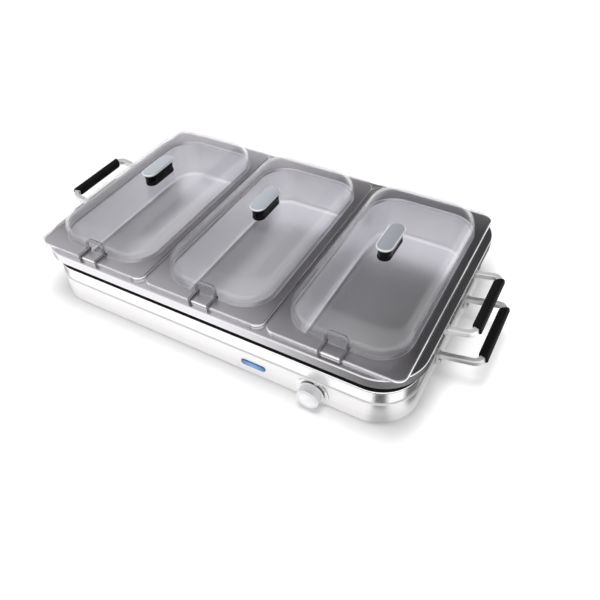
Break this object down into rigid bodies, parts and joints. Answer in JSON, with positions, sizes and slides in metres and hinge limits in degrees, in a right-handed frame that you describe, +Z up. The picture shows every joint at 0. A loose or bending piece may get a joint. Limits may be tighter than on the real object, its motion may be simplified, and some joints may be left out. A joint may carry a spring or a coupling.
{
  "type": "electric food warmer tray",
  "caption": "Long heated base with a control knob and side handles, a lift-off carrier frame holding food pans side by side, each with a clear lift-off lid that has a spoon notch.",
  "frame": {"origin": "centre of the overall length and depth, knob included, on the surface that the feet stand on; the base's own centre is 5.45 mm further back", "axes": "+X right along the front, +Y from front to back, +Z up"},
  "size_m": [0.66, 0.3508, 0.1466],
  "materials": {
    "belt_steel": "satin brushed",
    "shell_steel": "bright polished",
    "cover_steel": "galvanised",
    "feet_rubber": "matte",
    "fixings": "zinc plated",
    "ring_black": "satin",
    "plate_aluminium": "mill finish",
    "element_steel": "heat stained",
    "mat_fibre": "woven",
    "reflector_aluminium": "bright",
    "switch_ceramic": "matte",
    "dial_print": "satin",
    "lens_blue": "glossy tinted",
    "lamp_glass": "clear",
    "brass": "bright",
    "lead_live": "satin",
    "lead_neutral": "satin",
    "lead_earth": "satin",
    "grip_black": "satin",
    "knob_silver": "silver paint",
    "cap_chrome": "mirror",
    "bar_steel": "bright",
    "frame_steel": "satin",
    "pan_steel": "satin",
    "lid_clear": "clear",
    "pillar_black": "high gloss"
  },
  "bodies": {
    "base": {"lower_belt": "belt_steel", "upper_shell": "shell_steel", "well_pan": "shell_steel", "bottom_cover": "cover_steel", "rubber_feet": "feet_rubber", "foot_screws": "fixings", "cover_screws": "fixings", "seat_ring": "ring_black", "warming_plate": "plate_aluminium", "heating_element": "element_steel", "element_clamps": "fixings", "clamp_screws": "fixings", "insulation_mat": "mat_fibre", "heat_reflector": "reflector_aluminium", "thermostat_body": "switch_ceramic", "panel_nut": "fixings", "dial_ring": "dial_print", "indicator_lens": "lens_blue", "neon_lamp": "lamp_glass", "lamp_clip": "fixings", "thermal_fuse": "switch_ceramic", "fuse_clip": "fixings", "terminal_block": "switch_ceramic", "terminal_screws": "brass", "live_leads": "lead_live", "neutral_lead": "lead_neutral", "earth_lead": "lead_earth", "inlet_screws": "fixings", "inlet_plate": "shell_steel", "cord_grommet": "grip_black", "base_handle_screws": "fixings", "base_handle_nuts": "fixings", "base_bar_left": "bar_steel", "base_grip_left": "grip_black", "base_bar_right": "bar_steel", "base_grip_right": "grip_black"},
    "knob": {"control_knob": "knob_silver", "knob_cap": "cap_chrome", "thermostat_shaft": "brass"},
    "carrier": {"carrier_frame": "frame_steel", "frame_bar_left": "bar_steel", "frame_bar_right": "bar_steel", "frame_grip_left": "grip_black", "frame_grip_right": "grip_black", "frame_handle_screws": "fixings"},
    "food_pan_left": {"pan_left": "pan_steel"},
    "lid_unit_left": {"lid_left": "lid_clear", "lid_pillar_left": "pillar_black", "lid_cap_left": "cap_chrome", "lid_fixing_left": "fixings"},
    "food_pan_middle": {"pan_middle": "pan_steel"},
    "lid_unit_middle": {"lid_middle": "lid_clear", "lid_pillar_middle": "pillar_black", "lid_cap_middle": "cap_chrome", "lid_fixing_middle": "fixings"},
    "food_pan_right": {"pan_right": "pan_steel"},
    "lid_unit_right": {"lid_right": "lid_clear", "lid_pillar_right": "pillar_black", "lid_cap_right": "cap_chrome", "lid_fixing_right": "fixings"}
  },
  "joints": [
    {"name": "knob_turn", "type": "hinge", "parent": "base", "child": "knob", "pos_m": [0.156, -0.16455, 0.0195], "axis": [0, 1, 0], "range_deg": [0, 270]},
    {"name": "carrier_lift", "type": "slide", "parent": "base", "child": "carrier", "axis": [0, 0, 1], "range_m": [0, 0.12]},
    {"name": "pan_left_lift", "type": "slide", "parent": "carrier", "child": "food_pan_left", "axis": [0, 0, 1], "range_m": [0, 0.16]},
    {"name": "lid_left_lift", "type": "slide", "parent": "food_pan_left", "child": "lid_unit_left", "axis": [0, 0, 1], "range_m": [0, 0.08]},
    {"name": "pan_middle_lift", "type": "slide", "parent": "carrier", "child": "food_pan_middle", "axis": [0, 0, 1], "range_m": [0, 0.16]},
    {"name": "lid_middle_lift", "type": "slide", "parent": "food_pan_middle", "child": "lid_unit_middle", "axis": [0, 0, 1], "range_m": [0, 0.08]},
    {"name": "pan_right_lift", "type": "slide", "parent": "carrier", "child": "food_pan_right", "axis": [0, 0, 1], "range_m": [0, 0.16]},
    {"name": "lid_right_lift", "type": "slide", "parent": "food_pan_right", "child": "lid_unit_right", "axis": [0, 0, 1], "range_m": [0, 0.08]}
  ]
}
